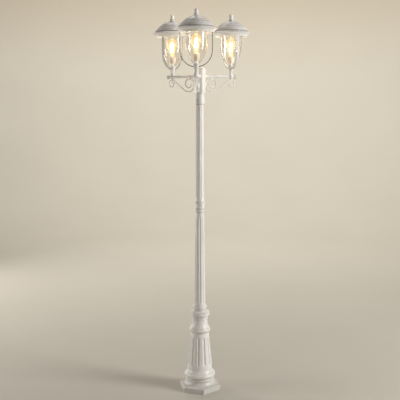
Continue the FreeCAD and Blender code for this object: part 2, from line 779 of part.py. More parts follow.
def hub_cap():
    """Domed hexagonal cover with a plug into the hub."""
    body = new_body("hub_cap")
    edge, rise = size("cap_edge"), size("cap_rise")
    push(body, outline(body, "XY_Plane", hexagon_points(size("hub_radius")), "Edge"), rise)
    plug = discs(body, "XY_Plane", [(0, 0, size("hub_bore") - size("slip"))], "Plug")
    push(body, plug, size("cap_plug"), back=True)
    far = size("hub_radius") * 2
    turned_out(body, [
        (size("hub_radius") + 1, edge, (edge - rise) * 0.3),
        (far, edge),
        (far, rise + 1),
        (size("hub_radius") / 3, rise + 1),
        (size("hub_radius") / 3, rise),
    ], "Dome")
    return stand(body, HUB_FOOT + size("hub_height") + size("face_gap"), turn=FRONT)


def terminal_block():
    """Insulated block in the hub, with a row of screw wells in its front and back."""
    body = new_body("terminal_block")
    half, height = size("block_width") / 2, size("block_height")
    square = [(half, half), (-half, half), (-half, -half), (half, -half)]
    push(body, outline(body, "XY_Plane", square, "Block"), height)
    pitch = size("block_pitch")
    wells = [(0, height / 2 + pitch * step, size("block_screw_radius")) for step in (-1.5, -0.5, 0.5, 1.5)]
    depth = size("block_screw_depth")
    sketch = discs(body, "XZ_Plane", wells, "Wells", lift=half - depth)
    push(body, sketch, depth * 2, "PartDesign::Pocket", back=True)
    return stand(body, BLOCK_FOOT, turn=FRONT + 60.0)


# ---------------------------------------------------------------- arms


def bow_between(start, end, radius):
    """How far an arc of a radius stands out from its chord, up to a half turn."""
    across, along = end[0] - start[0], end[1] - start[1]
    half = (across * across + along * along) / 4
    return radius - (radius * radius - half).root()


def dome(radius, rise):
    """Bow of the arc that closes a turned piece in a dome, level at its top."""
    sphere = (radius * radius + rise * rise) / (rise * 2)
    return bow_between((radius, Size.of(0)), (Size.of(0), rise), sphere)


def arm(place, turn):
    """Round tube from the hub, through the stem, with a hole up into the stem for the lead."""
    body = new_body(f"{place}_arm")
    start = size("hub_bore") + size("arm_seat")
    sketch = discs(body, "YZ_Plane", [(0, 0, size("arm_radius")), (0, 0, size("arm_bore"))], "Tube", lift=start)
    push(body, sketch, size("arm_reach") + size("arm_past") - start)
    hole = discs(body, "XY_Plane", [(size("arm_reach"), 0, size("arm_bore") - size("arm_slip"))], "LeadHole")
    push(body, hole, size("arm_radius") * 2, "PartDesign::Pocket", back=True)
    return stand(body, ARM_LEVEL, turn=turn)


def arm_knob(place, turn):
    """Turned knob with a plug in the arm's outer end, drawn upright and then laid along the arm."""
    body = new_body(f"{place}_arm_knob")
    plug = size("arm_bore") - size("arm_slip")
    points = climb("knob", size("knob_start"), 0)
    tip = points[-1][1] + size("knob_dome")
    turned(body, [
        (0, -size("knob_plug")),
        (plug, -size("knob_plug")),
        (plug, 0),
        *points,
        (0, tip, dome(points[-1][0], size("knob_dome"))),
    ])
    stand(body, ARM_LEVEL, out=size("arm_reach") + size("arm_past"), turn=turn)
    lean = Rotation(Vector(0, 0, 1), turn).multiply(Rotation(Vector(0, 1, 0), 90))
    body.Placement = Placement(body.Placement.Base, lean)
    return body


def scroll_route():
    """The scroll's centre line in the arm's plane, from the end of the big curl to the end of the small one,
    as outline points. Both curls are quarter turns that tighten by one ratio, and a straight run that touches
    a bend at each end joins them."""
    tighten = size("scroll_tighten")
    low = (size("scroll_inset"), -size("scroll_drop"))
    top = (size("arm_reach"), -size("stem_drop") - size("bar_radius") - size("face_gap"))

    def curl(point, radius, headings, hand):
        """Quarter turns onwards from a point. A heading is the way the bar runs as a quarter begins."""
        points = []
        for along, towards in headings:
            x = point[0] + radius * (along[0] + towards[0])
            y = point[1] + radius * (along[1] + towards[1])
            point = (x, y)
            points.append((x, y, radius * QUARTER * hand))
            radius = radius * tighten
        return points

    east, north, west, south = (1, 0), (0, 1), (-1, 0), (0, -1)
    inward = curl(low, size("scroll_big"), [(west, north), (north, east), (east, south), (south, west),
                                            (west, north)], 1)
    outward = curl(top, size("scroll_small"), [(east, south), (south, west), (west, north), (north, east)], -1)

    first, second = size("scroll_rise"), size("scroll_bend")
    gap_x, gap_y = top[0] - low[0], (top[1] - second) - (low[1] + first)
    reach = gap_x * gap_x + gap_y * gap_y
    both = first + second
    run = (reach - both * both).root()
    sine = (gap_x * both + gap_y * run) / reach
    cosine = (gap_x * run - gap_y * both) / reach
    leave = (low[0] + first * sine, low[1] + first - first * cosine)
    meet = (top[0] - second * sine, top[1] - second + second * cosine)
    return inward, low, (first, leave), (second, meet), top, outward


def scroll(place, turn):
    """S-scroll of round bar, a pipe along its centre line, with the tenon that seats it on the hub."""
    body = new_body(f"{place}_scroll")
    inward, low, (first, leave), (second, meet), top, outward = scroll_route()
    points = [(inward[-1][0], inward[-1][1])]
    for index in range(len(inward) - 1, 0, -1):
        x, y, bow = inward[index - 1][0], inward[index - 1][1], inward[index][2]
        points.append((x, y, bow))
    points.append((low[0], low[1], inward[0][2]))
    points.append((leave[0], leave[1], bow_between(low, leave, first)))
    points.append(meet)
    points.append((top[0], top[1], -bow_between(meet, top, second)))
    points.extend(outward)
    spine = outline(body, "XZ_Plane", points, "Route", closed=False)
    bar = discs(body, "XY_Plane", [(points[0][0], 0, size("bar_radius"))], "Bar", lift=points[0][1])
    pipe = body.newObject("PartDesign::AdditivePipe", "BarPipe")
    pipe.Profile = bar
    pipe.Spine = (spine, [f"Edge{k + 1}" for k in range(len(points) - 1)])
    side = inward[0]
    hub_flat = size("hub_radius") * math.sqrt(0.75)
    tenon = discs(body, "YZ_Plane", [(0, side[1], size("tenon_radius"))], "Tenon",
                  lift=hub_flat + size("face_gap"))
    push(body, tenon, side[0] - hub_flat - size("face_gap"))
    return stand(body, ARM_LEVEL, turn=turn)


def scroll_clips():
    """Three clips that hold the scrolls' big curls to the arms."""
    inward = scroll_route()[0]
    crest_x, crest_z = inward[1][0].number, inward[1][1].number
    radius = size("scroll_big").number * size("scroll_tighten").number
    bar, slack = size("bar_radius").number, size("arm_slip").number
    length, width = size("clip_length").number, size("clip_width").number
    floor = crest_z - bar - size("clip_floor").number
    block = Part.makeBox(length, width, -floor, Vector(crest_x - length / 2, -width / 2, floor))
    tube = Part.makeCylinder(size("arm_radius").number + slack, length * 2, Vector(crest_x - length, 0, 0),
                             Vector(1, 0, 0))
    curl = Part.makeTorus(radius, bar + slack * 3, Vector(crest_x, 0, crest_z - radius), Vector(0, 1, 0))
    channel = block.cut([tube, curl])
    clip = max(channel.Solids, key=lambda solid: solid.Volume)
    clips = []
    for turn in LANTERNS.values():
        copy = clip.copy()
        copy.translate(Vector(0, 0, ARM_LEVEL.number))
        copy.rotate(Vector(0, 0, 0), Vector(0, 0, 1), turn)
        clips.append(copy)
    piece = document.addObject("Part::Feature", "scroll_clips")
    piece.Shape = Part.makeCompound(clips)
    piece.Placement = Placement()
    return piece


def stem(place, turn):
    """Turned boss, neck and collar on the arm, hollow for the lead, with a saddle for the yoke on top."""
    body = new_body(f"{place}_stem")
    drop = size("stem_drop")
    points = climb("stem", size("stem_start"), -drop)
    collar, top = points[-1]
    cheek = top + size("strap_thickness")
    turned(body, [(0, -drop)] + points[:-1] + [(collar, cheek), (0, cheek)])
    turned_out(body, [(0, 0), (size("stem_bore"), 0), (size("stem_bore"), cheek + 1), (0, cheek + 1)])
    bore = discs(body, "YZ_Plane", [(0, 0, size("arm_radius") + size("arm_slip"))], "ArmBore")
    push(body, bore, member("stem", "boss", "radius") * 4, "PartDesign::Pocket", both=True)
    bend_radius = size("strap_radius") + size("strap_thickness") / 2
    saddle = discs(body, "YZ_Plane", [(0, top + bend_radius - size("face_gap"), bend_radius)], "Saddle")
    push(body, saddle, size("strap_width") + size("slip") * 4, "PartDesign::Pocket", both=True)
    return stand(body, ARM_LEVEL, out=size("arm_reach"), turn=turn)


def yoke(place, turn):
    """Flat strap bent to a U round the glass, with forked ends for the roof's screws."""
    body = new_body(f"{place}_yoke")
    outer = size("strap_radius") + size("strap_thickness") / 2
    inner, leg = outer - size("strap_thickness"), size("strap_leg")
    strap = outline(body, "YZ_Plane", [
        (outer, leg),
        (inner, leg),
        (inner, 0),
        (0, -inner, -inner * QUARTER),
        (-inner, 0, -inner * QUARTER),
        (-inner, leg),
        (-outer, leg),
        (-outer, 0),
        (0, -outer, outer * QUARTER),
        (outer, 0, outer * QUARTER),
    ], "Strap")
    push(body, strap, size("strap_width"), both=True)
    hole = discs(body, "XY_Plane", [(0, 0, size("nipple_radius") + size("slip"))], "NippleHole")
    push(body, hole, outer * 2, "PartDesign::Pocket")
    half, foot = size("fork_slot") / 2, screw_level() - BEND_LEVEL
    slot = outline(body, "XZ_Plane", [
        (-half, foot),
        (0, foot - half, half * QUARTER),
        (half, foot, half * QUARTER),
        (half, leg + 1),
        (-half, leg + 1),
    ], "Fork")
    push(body, slot, outer * 4, "PartDesign::Pocket", both=True)
    return stand(body, BEND_LEVEL, out=size("arm_reach"), turn=turn)


# ---------------------------------------------------------------- lanterns


def gallery(place, turn):
    """Cup over the yoke: a nipple down through the strap, a dish for the glass and a post for the holder."""
    body = new_body(f"{place}_gallery")
    inner = size("strap_radius") - size("strap_thickness") / 2
    nipple, bore, wide = size("nipple_radius"), size("nipple_bore"), size("gallery_start") + 1
    near, far = [inner - (inner * inner - reach * reach).root() for reach in (nipple, wide)]
    points = climb("gallery", size("gallery_start"), 0)
    rim, top = points[-1][0], points[-1][1]
    floor, post = size("gallery_floor"), size("post_radius")
    turned(body, [
        (bore, -size("nipple_length")),
        (nipple, -size("nipple_length")),
        (nipple, near),
        (points[0][0], near),
        *points[1:],
        (rim - size("gallery_lip"), top),
        (rim - size("gallery_lip"), floor),
        (post, floor),
        (post, size("post_top")),
        (bore, size("post_top")),
    ])
    arc = bow_between((nipple, near), (wide, far), inner)
    left = [(-wide, -1), (-nipple, -1), (-nipple, near), (-wide, far, -arc)]
    right = [(nipple, -1), (wide, -1), (wide, far), (nipple, near, -arc)]
    for name, side in (("SaddleLeft", left), ("SaddleRight", right)):
        push(body, outline(body, "YZ_Plane", side, name), wide * 2, "PartDesign::Pocket", both=True)
    return stand(body, STRAP_TOP + size("face_gap"), out=size("arm_reach"), turn=turn)


def glass(place, turn):
    """Bell-shaped glass, open at the top, with a hole in its foot."""
    body = new_body(f"{place}_glass")
    points = climb("glass", size("glass_start"), 0)
    foot, neck, waist, belly, top = points
    wall, hole = size("glass_wall"), size("glass_hole")
    turned(body, [
        (hole, 0),
        *points,
        (top[0] - wall, top[1]),
        (belly[0] - wall, belly[1]),
        (waist[0] - wall * 0.9, waist[1] + wall * 0.4, -member("glass", "upper", "bow")),
        (neck[0] - wall * 0.9, neck[1] + wall * 0.4, -member("glass", "lower", "bow")),
        (foot[0] - wall, wall),
        (hole, wall),
    ])
    return stand(body, GLASS_FOOT, out=size("arm_reach"), turn=turn)


def lampholder(place, turn):
    """Insulated holder with a screw bore for the bulb."""
    body = new_body(f"{place}_lampholder")
    points = climb("holder", size("holder_start"), 0)
    top, bore, floor = points[-1][1], size("holder_bore"), size("holder_floor")
    turned(body, [
        (size("nipple_bore"), 0),
        *points,
        (bore, top),
        (bore, floor),
        (size("nipple_bore"), floor),
    ])
    return stand(body, HOLDER_FOOT + size("face_gap"), out=size("arm_reach"), turn=turn)


def bulb_cap(place, turn):
    """Screw cap of the bulb, with its centre contact."""
    body = new_body(f"{place}_bulb_cap")
    contact, radius = size("contact_radius"), size("cap_radius")
    rise, shoulder = size("contact_rise"), size("cap_shoulder")
    turned(body, [
        (0, 0),
        (contact, 0),
        (contact, rise),
        (radius, rise + shoulder),
        (radius, rise + shoulder + size("cap_shell")),
        (0, rise + shoulder + size("cap_shell")),
    ])
    return stand(body, BULB_FOOT + size("face_gap"), out=size("arm_reach"), turn=turn)


def bulb_glass(place, turn):
    """Pear-shaped envelope of the bulb, hollow."""
    body = new_body(f"{place}_bulb_glass")
    points = climb("bulb", size("bulb_start"), 0)
    wall, rise = size("bulb_wall"), size("bulb_dome")
    edge, crown = points[-1][0], points[-1][1] + rise
    inner = [(point[0] - wall, point[1]) + point[2:] for point in points]
    back = [(edge - wall, points[-1][1], -dome(edge - wall, rise - wall))]
    for index in range(len(inner) - 1, 0, -1):
        back.append((inner[index - 1][0], inner[index - 1][1], -inner[index][2]))
    turned(body, [*points, (0, crown, dome(edge, rise)), (0, crown - wall), *back])
    return stand(body, SHELL_TOP + size("face_gap") * 2, out=size("arm_reach"), turn=turn)


def filament(place, turn):
    """Glass post in the bulb with upright filaments on wires round it."""
    post = Part.makeCylinder(size("filament_stem").number, size("filament_stem_height").number)
    foot, length = size("filament_foot").number, size("filament_length").number
    circle, wire = size("filament_circle").number, size("filament_wire").number
    rods = []
    count = int(size("filament_count").number)
    for index in range(count):
        angle = index * 360.0 / count
        rod = Part.makeCylinder(size("filament_radius").number, length, Vector(circle, 0, foot))
        low = Part.makeCylinder(wire, circle, Vector(0, 0, foot + wire * 2), Vector(1, 0, 0))
        high = Part.makeCylinder(wire, circle, Vector(0, 0, foot + length - wire * 2), Vector(1, 0, 0))
        for solid in (rod, low, high):
            solid.rotate(Vector(0, 0, 0), Vector(0, 0, 1), angle)
            rods.append(solid)
    piece = document.addObject("Part::Feature", f"{place}_filament")
    piece.Shape = post.fuse(rods).removeSplitter()
    return stand(piece, SHELL_TOP + size("face_gap") * 2, out=size("arm_reach"), turn=turn)


def screw_level():
    """Height of the roof's screws: the bottom of the roof's groove."""
    return ROOF_FOOT + rise_of("roof", upto="fillet")


def roof(place, turn):
    """Stepped dome with a brim, hollow, with a boss for the finial's rod and two screw holes in its groove."""
    body = new_body(f"{place}_roof")
    points = climb("roof", size("roof_edge"), 0)
    groove, skirt, crown = points[3], points[5], points[9]
    wall, boss = size("roof_wall"), size("boss_radius")
    top, rod = points[-1][1], size("rod_radius") + size("rod_slip")
    ceiling = points[-2][1] - wall
    turned(body, [
        *points,
        (rod, top),
        (rod, ceiling - size("boss_depth")),
        (boss, ceiling - size("boss_depth")),
        (boss, ceiling),
        (crown[0], crown[1] - wall * 1.3),
        (skirt[0], skirt[1] - wall * 1.3, -member("roof", "crown", "bow")),
        (groove[0] - size("roof_groove_wall"), groove[1] + wall, -member("roof", "skirt", "bow")),
        (size("roof_mouth"), groove[1] - wall),
        (size("roof_mouth"), 0),
    ])
    level, reach = groove[1], groove[0]
    hole = size("roof_screw_radius") + size("screw_slip")
    head = size("roof_screw_head") + size("screw_slip") * 4
    seat, far = reach + size("face_gap") * 2, member("roof", "brim", "radius") + 2
    screw_hole = outline(body, "YZ_Plane", [
        (reach - size("roof_groove_wall") * 4, level),
        (far, level),
        (far, level + head),
        (seat, level + head),
        (seat, level + hole),
        (reach - size("roof_groove_wall") * 4, level + hole),
    ], "ScrewHole")
    drilled = spin(body, screw_hole, "PartDesign::Groove", "Edge2")
    ring_of(body, drilled, 2)
    return stand(body, ROOF_FOOT, out=size("arm_reach"), turn=turn)


def reflector(place, turn):
    """Shallow dish with an upturned rim, on a spacer tube up to the roof's boss."""
    body = new_body(f"{place}_reflector")
    wall, radius = size("reflector_wall"), size("reflector_radius")
    rod = size("rod_radius") + size("rod_slip")
    ceiling = rise_of("roof", upto="throat") - size("roof_wall")
    length = ceiling - size("boss_depth") - size("reflector_height") - size("face_gap")
    turned(body, [
        (rod, 0),
        (radius, 0),
        (radius, size("reflector_rim")),
        (radius - wall, size("reflector_rim")),
        (radius - wall, wall),
        (size("spacer_radius"), wall),
        (size("spacer_radius"), length),
        (rod, length),
    ])
    return stand(body, ROOF_FOOT + size("reflector_height"), out=size("arm_reach"), turn=turn)


def reflector_nut(place, turn):
    """Hexagon nut that holds the reflector up on the rod."""
    body = new_body(f"{place}_reflector_nut")
    push(body, outline(body, "XY_Plane", hexagon_points(size("nut_radius")), "Hexagon"), size("nut_height"))
    bore = discs(body, "XY_Plane", [(0, 0, size("rod_radius") + size("rod_slip"))], "Bore")
    push(body, bore, size("nut_height") * 2, "PartDesign::Pocket", both=True)
    level = ROOF_FOOT + size("reflector_height") - size("nut_height") - size("face_gap")
    return stand(body, level, out=size("arm_reach"), turn=turn)


def finial(place, turn):
    """Turned knob on top of the roof, with the rod that goes down through the roof and the reflector."""
    body = new_body(f"{place}_finial")
    points = climb("finial", size("finial_start"), 0)
    tip = points[-1][1] + size("finial_dome")
    rod = size("rod_radius")
    length = rise_of("roof") - size("reflector_height") + size("nut_height") + size("rod_past")
    turned(body, [
        (0, -length),
        (rod, -length),
        (rod, 0),
        *points,
        (0, tip, dome(points[-1][0], size("finial_dome"))),
    ])
    return stand(body, ROOF_FOOT + rise_of("roof") + size("face_gap"), out=size("arm_reach"), turn=turn)


def roof_screws(place, turn):
    """Two screws across the yoke, from the roof's groove into the forked ends of the strap."""
    head = Part.makeCylinder(size("roof_screw_head").number, size("roof_screw_head_height").number)
    inner = size("strap_radius").number - size("strap_thickness").number / 2
    seat = member("roof", "rake", "radius").number + 3 * size("face_gap").number
    shank = seat - inner + size("roof_screw_past").number
    pin = Part.makeCylinder(size("roof_screw_radius").number, shank, Vector(0, 0, -shank))
    screw = head.fuse(pin).removeSplitter()
    screws = []
    for side in (1, -1):
        copy = screw.copy()
        copy.rotate(Vector(0, 0, 0), Vector(1, 0, 0), -90 * side)
        copy.translate(Vector(0, seat * side, 0))
        screws.append(copy)
    piece = document.addObject("Part::Feature", f"{place}_roof_screws")
    piece.Shape = Part.makeCompound(screws)
    return stand(piece, screw_level(), out=size("arm_reach"), turn=turn)


# ---------------------------------------------------------------- small parts inside


def grub_screw(length):
    """One socket grub screw along +X, its point at the origin."""
    axis = Vector(1, 0, 0)
    body = Part.makeCylinder(size("screw_radius").number, length, Vector(0, 0, 0), axis)
    corner, depth = size("screw_socket").number, size("screw_socket_depth").number
    corners = [Vector(length - depth, corner * math.cos(math.radians(60 * k)),
                      corner * math.sin(math.radians(60 * k))) for k in range(7)]
    socket = Part.Face(Part.makePolygon(corners)).extrude(axis * (depth + 1))
    return body.cut(socket)


def set_screws():
    """Nine grub screws, three round each joint of the post, with their points on the tube inside."""
    slip, shallow = size("slip").number, size("screw_socket_depth").number + 2
    joints = [
        (COLLAR_FOOT + size("collar_screw_height"), size("spigot_radius"), COLLAR_TURN,
         size("screw_length").number),
        (COUPLING_FOOT + size("coupling_screw_height"), size("upper_spigot_radius"), COUPLING_TURN, shallow),
        (SLEEVE_FOOT + size("sleeve_screw_height"), size("head_spigot_radius"),
         Size.of(FRONT + SLEEVE_SWING), shallow),
    ]
    screws = []
    for height, radius, turn, length in joints:
        for step in range(3):
            screw = grub_screw(length)
            screw.translate(Vector(radius.number + slip / 4, 0, height.number))
            screw.rotate(Vector(0, 0, 0), Vector(0, 0, 1), turn.number - 90.0 + 120.0 * step)
            screws.append(screw)
    piece = document.addObject("Part::Feature", "set_screws")
    piece.Shape = Part.makeCompound(screws)
    piece.Placement = Placement()
    return piece


def lamp_leads():
    """Three leads, from the terminal block along the arms and up the stems to the lampholders."""
    radius, turn_radius = size("lead_radius").number, size("lead_bend").number
    start, reach = size("lead_start").number, size("arm_reach").number
    foot = (BLOCK_FOOT + size("block_height") + size("face_gap") - ARM_LEVEL).number
    head = (HOLDER_FOOT - ARM_LEVEL + size("holder_floor") / 2).number
    short = turn_radius * QUARTER
    low, first = Vector(start, 0, foot), Vector(start, 0, -turn_radius)
    inner, outer = Vector(start + turn_radius, 0, 0), Vector(reach - turn_radius, 0, 0)
    last, high = Vector(reach, 0, turn_radius), Vector(reach, 0, head)
    route = Part.Wire([
        Part.LineSegment(low, first).toShape(),
        Part.Arc(first, Vector(start + short, 0, -short), inner).toShape(),
        Part.LineSegment(inner, outer).toShape(),
        Part.Arc(outer, Vector(reach - short, 0, short), last).toShape(),
        Part.LineSegment(last, high).toShape(),
    ])
    section = Part.Wire([Part.Circle(low, Vector(0, 0, 1), radius).toShape()])
    leads = []
    for turn in LANTERNS.values():
        lead = route.makePipeShell([section], True, False)
        lead.translate(Vector(0, 0, ARM_LEVEL.number))
        lead.rotate(Vector(0, 0, 0), Vector(0, 0, 1), turn)
        leads.append(lead)
    piece = document.addObject("Part::Feature", "lamp_leads")
    piece.Shape = Part.makeCompound(leads)
    piece.Placement = Placement()
    return piece


# ---------------------------------------------------------------- assembly

POST_TURN = size("foot_turn") + size("base_flute_turn") + size("post_flute_turn") + FRONT
UPPER_TURN = POST_TURN + size("upper_flute_turn")
COLLAR_TURN = size("foot_turn") + FRONT + 108.0
COUPLING_TURN = size("foot_turn") + FRONT + 100.0
SLEEVE_SWING = 65.0

LANTERN_PIECES = [
    arm, arm_knob, scroll, stem, yoke, gallery, glass, lampholder, bulb_cap, bulb_glass, filament,
    roof, reflector, reflector_nut, finial, roof_screws,
]


def build():
    pieces = [base_casting(), base_collar(), lower_post(), cable_grommet(), post_collar(), upper_post(),
              hub_casting(), hub_cap(), terminal_block(), set_screws(), lamp_leads(), scroll_clips()]
    for place, turn in LANTERNS.items():
        for make in LANTERN_PIECES:
            pieces.append(make(place, turn))
    document.recompute()
    return pieces


def check(pieces):
    """Stops on any failed object, empty or invalid shape."""
    failed = [item.Name for item in document.Objects if {"Invalid", "Error"} & set(item.State)]
    empty = [piece.Label for piece in pieces if piece.Shape.isNull() or not piece.Shape.isValid()]
    if failed or empty:
        raise RuntimeError(f"failed: {failed}, empty or invalid: {empty}")


def export(pieces):
    os.makedirs("parts", exist_ok=True)
    for piece in pieces:
        piece.Shape.exportStep(os.path.join("parts", piece.Label + ".step"))


PIECES = build()
check(PIECES)
export(PIECES)
for built in PIECES:
    box = built.Shape.BoundBox
    print(f"{built.Label:24s} solids {len(built.Shape.Solids)} volume {built.Shape.Volume / 1000:10.2f} cm3"
          f"  z {box.ZMin:8.1f} {box.ZMax:8.1f}")
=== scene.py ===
"""Garden lamp post with three lit lanterns on scrolled arms, painted white, in a plain studio.

Metres, +Z up, the post's axis through the origin and the front arm along -Y.
"""

import math

import bmesh
import bpy
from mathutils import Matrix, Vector


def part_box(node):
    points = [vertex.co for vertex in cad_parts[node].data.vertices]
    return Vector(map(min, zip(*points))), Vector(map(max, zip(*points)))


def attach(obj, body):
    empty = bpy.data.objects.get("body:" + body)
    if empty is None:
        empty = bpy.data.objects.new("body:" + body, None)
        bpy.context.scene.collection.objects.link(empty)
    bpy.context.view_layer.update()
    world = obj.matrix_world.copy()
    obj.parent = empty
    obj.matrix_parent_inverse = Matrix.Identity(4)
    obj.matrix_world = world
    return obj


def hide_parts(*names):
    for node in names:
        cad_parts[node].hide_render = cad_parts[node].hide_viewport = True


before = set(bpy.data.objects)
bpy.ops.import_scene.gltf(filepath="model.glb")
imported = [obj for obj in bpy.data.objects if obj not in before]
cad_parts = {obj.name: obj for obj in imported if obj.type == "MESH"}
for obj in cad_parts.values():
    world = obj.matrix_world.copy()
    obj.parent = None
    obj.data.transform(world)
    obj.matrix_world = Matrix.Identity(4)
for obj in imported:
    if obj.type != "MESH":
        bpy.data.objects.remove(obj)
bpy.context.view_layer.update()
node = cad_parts

# ---------------------------------------------------------------- the cast foot and the post
# The foot is one hollow aluminium casting, bolted to the ground, with the fluted posts and their turned collars
# stacked on it. All of it is blasted and powder coated white in one go, so the parts share a satin skin with a
# faint orange peel, and the casting's own slow waves show through it.


class Shade:
    """A value inside a finish. Sums, differences and products of it become the nodes that work them out."""

    def __init__(self, finish, socket):
        self.finish = finish
        self.socket = socket

    def __add__(self, other):
        return self.finish.maths("ADD", self, other)

    def __sub__(self, other):
        return self.finish.maths("SUBTRACT", self, other)

    def __mul__(self, other):
        return self.finish.maths("MULTIPLY", self, other)

    def __radd__(self, other):
        return self.finish.maths("ADD", other, self)

    def __rsub__(self, other):
        return self.finish.maths("SUBTRACT", other, self)

    def __rmul__(self, other):
        return self.finish.maths("MULTIPLY", other, self)

    def clamped(self):
        """The value, kept between 0 and 1."""
        return self.finish.node("ShaderNodeClamp", {}, Value=self)

    def ramp(self, low, high):
        """0 below low, 1 above high, smooth between."""
        return self.finish.node("ShaderNodeMapRange", {"interpolation_type": "SMOOTHSTEP"},
                                Value=self, From_Min=low, From_Max=high)

    def within(self, low, high, soft):
        """1 from low to high, fading to 0 over the soft margin on both sides."""
        return self.ramp(low - soft, low) * (1.0 - self.ramp(high, high + soft))


class Finish:
    """One material, built from its coats down to its grain."""

    def __init__(self, name):
        self.material = bpy.data.materials.new(name)
        self.material.use_nodes = True
        self.tree = self.material.node_tree
        self.tree.nodes.clear()
        self.output = self.tree.nodes.new("ShaderNodeOutputMaterial")

    def node(self, kind, settings, out=0, **values):
        """Adds a node: its settings first, then the values or links of its sockets. An underscore stands for a
        space in a socket's name."""
        made = self.tree.nodes.new(kind)
        for key, value in settings.items():
            setattr(made, key, value)
        for key, value in values.items():
            socket = self.find(made.inputs, key)
            if isinstance(value, Shade):
                self.tree.links.new(value.socket, socket)
            elif isinstance(value, tuple) and len(value) == 3 and socket.type == "RGBA":
                socket.default_value = (*value, 1.0)
            else:
                socket.default_value = value
        return Shade(self, self.find(made.outputs, out))

    @staticmethod
    def find(sockets, key):
        """The socket with a number, an identifier or a name."""
        if isinstance(key, int):
            return sockets[key]
        for socket in sockets:
            if key == socket.identifier:
                return socket
        return sockets[key.replace("_", " ")]

    def maths(self, operation, first, second):
        return self.node("ShaderNodeMath", {"operation": operation}, Value=first, Value_001=second)

    def place(self):
        """The point on the piece, in metres, where it is with the piece at rest."""
        return self.node("ShaderNodeTexCoord", {}, out="Object")

    def level(self):
        """The height above the ground, in metres."""
        return self.node("ShaderNodeSeparateXYZ", {}, out="Z", Vector=self.place())

    def facing(self):
        """The direction that the surface looks in."""
        return self.node("ShaderNodeNewGeometry", {}, out="Normal")

    def noise(self, per_metre, detail=2.0, roughness=0.5):
        return self.node("ShaderNodeTexNoise", {}, Vector=self.place(), Scale=per_metre, Detail=detail,
                         Roughness=roughness)

    def blend(self, share, first, second):
        return self.node("ShaderNodeMix", {"data_type": "RGBA"}, out="Result_Color", Factor_Float=share,
                         A_Color=first, B_Color=second)

    def bump(self, height, depth, strength=1.0, under=None):
        values = {"Height": height, "Distance": depth, "Strength": strength}
        if under is not None:
            values["Normal"] = under
        return self.node("ShaderNodeBump", {}, **values)

    def skin(self, **values):
        """The finish's surface, and the end of its making."""
        surface = self.node("ShaderNodeBsdfPrincipled", {}, **values)
        self.tree.links.new(surface.socket, self.output.inputs["Surface"])
        return self.material


def wear(piece, material):
    """Dresses a piece in one material."""
    piece.data.materials.clear()
    piece.data.materials.append(material)


def dimmed(colour, share):
    """A colour with each channel brought down to a share of itself."""
    return tuple(channel * share for channel in colour)


POST_WHITE = (0.80, 0.795, 0.78)
WORN_SHARES = (0.95, 0.94, 0.91)
GROUND_DUST, DUST_SHARE, SPLASH_SHARE = (0.42, 0.37, 0.30), 0.45, 0.18
# The foot turns darker grey towards the ground, fading out between these two heights.
FOOT_GREY, FOOT_GREY_FROM, FOOT_GREY_TO = (0.42, 0.40, 0.37), 0.01, 0.11
# The colour of the painted shade in the creases, and how soft its edges are.
GROOVE_SHADE, GROOVE_EDGE = (0.20, 0.17, 0.14), 0.0012
WAVE_DEPTH = 0.0006
PEEL_PER_METRE, PEEL_DEPTH, PEEL_STRENGTH = 620.0, 0.00012, 0.6


def powder_coat(name, white, dust_top=0.0, grooves=()):
    """White powder coat with a faint orange peel. Dust lies on its ledges and splashes on its foot, up to a height.
    Painted shade lies in its grooves, each given as the heights of its edges and how dark it is."""
    coat = Finish(name)
    cloud = coat.noise(per_metre=9.0, detail=3.0)
    peel = coat.noise(per_metre=PEEL_PER_METRE, detail=1.5)
    wave = coat.noise(per_metre=38.0, detail=2.0)
    worn = tuple(channel * share for channel, share in zip(white, WORN_SHARES))
    colour = coat.blend(cloud.ramp(0.42, 0.72), white, worn)
    if dust_top:
        level = coat.level()
        upward = coat.node("ShaderNodeSeparateXYZ", {}, out="Z", Vector=coat.facing())
        grain = coat.noise(per_metre=240.0, detail=4.0, roughness=0.7)
        drops = coat.noise(per_metre=55.0, detail=5.0)
        near_ground = 1.0 - level.ramp(0.0, dust_top)
        dust = upward.ramp(0.35, 0.95) * near_ground * grain.ramp(0.35, 0.75) * DUST_SHARE
        splash = near_ground * near_ground * drops.ramp(0.55, 0.8) * SPLASH_SHARE
        colour = coat.blend((dust + splash).clamped(), colour, GROUND_DUST)
        # Darker grey towards the ground, with grain.
        foot_darkening = (1.0 - level.ramp(FOOT_GREY_FROM, FOOT_GREY_TO)) * (0.24 + grain * 0.3)
        colour = coat.blend(foot_darkening, colour, FOOT_GREY)
    if grooves:
        level = coat.level()
        # Painted shade in the creases, darker in patches.
        crease_shade = sum(level.within(low, high, GROOVE_EDGE) * share for low, high, share in grooves)
        patchy = coat.noise(per_metre=70.0, detail=4.0).ramp(0.2, 0.6) * 0.5 + 0.5
        colour = coat.blend((crease_shade * patchy).clamped(), colour, GROOVE_SHADE)
    relief = coat.bump(wave, depth=WAVE_DEPTH, strength=0.35)
    relief = coat.bump(peel, depth=PEEL_DEPTH, strength=PEEL_STRENGTH, under=relief)
    return coat.skin(Base_Color=colour, Roughness=0.34 + cloud * 0.14, Coat_Weight=0.25, Coat_Roughness=0.22,
                     Normal=relief)


def raised(creases, foot):
    """Creases that are given above a foot, at their heights above the ground."""
    return [(foot + low, foot + high, share) for low, high, share in creases]


# The creases between the mouldings: the heights of each one's edges above the foot plate's top, and how dark the
# painted shade in it is. The casting's own top is BASE_RISE above the plate, and the collar on it is COLLAR_RISE
# high.
BASE_RISE = 0.4353
BASE_CREASES = ((0.0270, 0.0285, 0.20), (0.0458, 0.0476, 0.62), (0.0788, 0.0802, 0.15), (0.3376, 0.3392, 0.50),
                (0.3620, 0.3634, 0.40), (0.4152, 0.4164, 0.35), (0.4250, 0.4262, 0.45), (0.4345, 0.4359, 0.50),
                (0.4436, 0.4448, 0.30), (0.4625, 0.4637, 0.35), (0.4756, 0.4768, 0.50), (0.4865, 0.4877, 0.40),
                (0.5060, 0.5070, 0.35))
